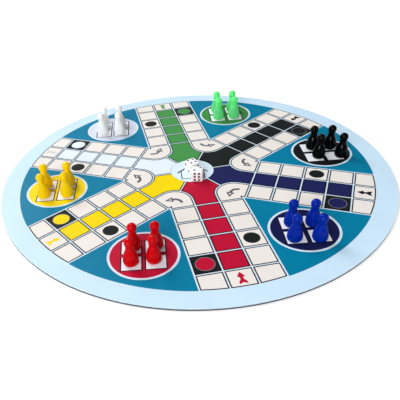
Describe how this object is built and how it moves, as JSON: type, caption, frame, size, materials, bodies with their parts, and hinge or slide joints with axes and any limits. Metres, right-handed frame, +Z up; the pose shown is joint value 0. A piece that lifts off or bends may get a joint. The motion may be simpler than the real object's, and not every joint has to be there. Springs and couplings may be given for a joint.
{
  "type": "ludo board",
  "caption": "Thin round ludo board for six players with a printed star of cell arms, coloured homes with standing pawns, and dice on the hub.",
  "frame": {"origin": "centre of the board's underside", "axes": "+Z up through the board, red arm towards -Y, green arm towards +Y"},
  "size_m": [0.3999, 0.4, 0.028],
  "materials": {
    "core_board": "dark grey board, matt cut edge",
    "face_paper": "pale blue, satin laminated",
    "lining_paper": "dark grey, matt",
    "ink_teal": "printed, satin laminated",
    "ink_dark": "printed, satin laminated",
    "ink_cream": "printed, satin laminated",
    "ink_spot_white": "printed, satin laminated",
    "ink_red": "printed, satin laminated",
    "ink_blue": "printed, satin laminated",
    "ink_black": "printed, satin laminated",
    "ink_green": "printed, satin laminated",
    "ink_white": "printed, satin laminated",
    "ink_yellow": "printed, satin laminated",
    "pawn_red": "glossy moulded plastic",
    "pawn_blue": "glossy moulded plastic",
    "pawn_black": "glossy moulded plastic",
    "pawn_green": "glossy moulded plastic",
    "pawn_white": "glossy moulded plastic",
    "pawn_yellow": "glossy moulded plastic",
    "die_plastic": "glossy white plastic",
    "pip_paint": "black paint"
  },
  "bodies": {
    "board": {"board_core": "core_board", "face_sheet": "face_paper", "lining_sheet": "lining_paper", "print_field": "ink_teal", "print_lines": "ink_dark", "print_cells": "ink_cream", "print_spots": "ink_spot_white", "print_red": "ink_red", "print_blue": "ink_blue", "print_black": "ink_black", "print_green": "ink_green", "print_white": "ink_white", "print_yellow": "ink_yellow"},
    "pawn_red_1": {"pawn_red_1": "pawn_red"},
    "pawn_red_2": {"pawn_red_2": "pawn_red"},
    "pawn_red_3": {"pawn_red_3": "pawn_red"},
    "pawn_red_4": {"pawn_red_4": "pawn_red"},
    "pawn_blue_1": {"pawn_blue_1": "pawn_blue"},
    "pawn_blue_2": {"pawn_blue_2": "pawn_blue"},
    "pawn_blue_3": {"pawn_blue_3": "pawn_blue"},
    "pawn_blue_4": {"pawn_blue_4": "pawn_blue"},
    "pawn_black_1": {"pawn_black_1": "pawn_black"},
    "pawn_black_2": {"pawn_black_2": "pawn_black"},
    "pawn_black_3": {"pawn_black_3": "pawn_black"},
    "pawn_black_4": {"pawn_black_4": "pawn_black"},
    "pawn_green_1": {"pawn_green_1": "pawn_green"},
    "pawn_green_2": {"pawn_green_2": "pawn_green"},
    "pawn_green_3": {"pawn_green_3": "pawn_green"},
    "pawn_green_4": {"pawn_green_4": "pawn_green"},
    "pawn_white_1": {"pawn_white_1": "pawn_white"},
    "pawn_white_2": {"pawn_white_2": "pawn_white"},
    "pawn_white_3": {"pawn_white_3": "pawn_white"},
    "pawn_white_4": {"pawn_white_4": "pawn_white"},
    "pawn_yellow_1": {"pawn_yellow_1": "pawn_yellow"},
    "pawn_yellow_2": {"pawn_yellow_2": "pawn_yellow"},
    "pawn_yellow_3": {"pawn_yellow_3": "pawn_yellow"},
    "pawn_yellow_4": {"pawn_yellow_4": "pawn_yellow"},
    "die_front": {"die_front": "die_plastic", "die_front_pips": "pip_paint"},
    "die_back": {"die_back": "die_plastic", "die_back_pips": "pip_paint"}
  },
  "joints": [
    {"name": "pawn_red_1_lift", "type": "slide", "parent": "board", "child": "pawn_red_1", "axis": [0, 0, 1], "range_m": [0, 0.06]},
    {"name": "pawn_red_2_lift", "type": "slide", "parent": "board", "child": "pawn_red_2", "axis": [0, 0, 1], "range_m": [0, 0.06]},
    {"name": "pawn_red_3_lift", "type": "slide", "parent": "board", "child": "pawn_red_3", "axis": [0, 0, 1], "range_m": [0, 0.06]},
    {"name": "pawn_red_4_lift", "type": "slide", "parent": "board", "child": "pawn_red_4", "axis": [0, 0, 1], "range_m": [0, 0.06]},
    {"name": "pawn_blue_1_lift", "type": "slide", "parent": "board", "child": "pawn_blue_1", "axis": [0, 0, 1], "range_m": [0, 0.06]},
    {"name": "pawn_blue_2_lift", "type": "slide", "parent": "board", "child": "pawn_blue_2", "axis": [0, 0, 1], "range_m": [0, 0.06]},
    {"name": "pawn_blue_3_lift", "type": "slide", "parent": "board", "child": "pawn_blue_3", "axis": [0, 0, 1], "range_m": [0, 0.06]},
    {"name": "pawn_blue_4_lift", "type": "slide", "parent": "board", "child": "pawn_blue_4", "axis": [0, 0, 1], "range_m": [0, 0.06]},
    {"name": "pawn_black_1_lift", "type": "slide", "parent": "board", "child": "pawn_black_1", "axis": [0, 0, 1], "range_m": [0, 0.06]},
    {"name": "pawn_black_2_lift", "type": "slide", "parent": "board", "child": "pawn_black_2", "axis": [0, 0, 1], "range_m": [0, 0.06]},
    {"name": "pawn_black_3_lift", "type": "slide", "parent": "board", "child": "pawn_black_3", "axis": [0, 0, 1], "range_m": [0, 0.06]},
    {"name": "pawn_black_4_lift", "type": "slide", "parent": "board", "child": "pawn_black_4", "axis": [0, 0, 1], "range_m": [0, 0.06]},
    {"name": "pawn_green_1_lift", "type": "slide", "parent": "board", "child": "pawn_green_1", "axis": [0, 0, 1], "range_m": [0, 0.06]},
    {"name": "pawn_green_2_lift", "type": "slide", "parent": "board", "child": "pawn_green_2", "axis": [0, 0, 1], "range_m": [0, 0.06]},
    {"name": "pawn_green_3_lift", "type": "slide", "parent": "board", "child": "pawn_green_3", "axis": [0, 0, 1], "range_m": [0, 0.06]},
    {"name": "pawn_green_4_lift", "type": "slide", "parent": "board", "child": "pawn_green_4", "axis": [0, 0, 1], "range_m": [0, 0.06]},
    {"name": "pawn_white_1_lift", "type": "slide", "parent": "board", "child": "pawn_white_1", "axis": [0, 0, 1], "range_m": [0, 0.06]},
    {"name": "pawn_white_2_lift", "type": "slide", "parent": "board", "child": "pawn_white_2", "axis": [0, 0, 1], "range_m": [0, 0.06]},
    {"name": "pawn_white_3_lift", "type": "slide", "parent": "board", "child": "pawn_white_3", "axis": [0, 0, 1], "range_m": [0, 0.06]},
    {"name": "pawn_white_4_lift", "type": "slide", "parent": "board", "child": "pawn_white_4", "axis": [0, 0, 1], "range_m": [0, 0.06]},
    {"name": "pawn_yellow_1_lift", "type": "slide", "parent": "board", "child": "pawn_yellow_1", "axis": [0, 0, 1], "range_m": [0, 0.06]},
    {"name": "pawn_yellow_2_lift", "type": "slide", "parent": "board", "child": "pawn_yellow_2", "axis": [0, 0, 1], "range_m": [0, 0.06]},
    {"name": "pawn_yellow_3_lift", "type": "slide", "parent": "board", "child": "pawn_yellow_3", "axis": [0, 0, 1], "range_m": [0, 0.06]},
    {"name": "pawn_yellow_4_lift", "type": "slide", "parent": "board", "child": "pawn_yellow_4", "axis": [0, 0, 1], "range_m": [0, 0.06]},
    {"name": "die_front_lift", "type": "slide", "parent": "board", "child": "die_front", "axis": [0, 0, 1], "range_m": [0, 0.06]},
    {"name": "die_back_lift", "type": "slide", "parent": "board", "child": "die_back", "axis": [0, 0, 1], "range_m": [0, 0.06]}
  ]
}
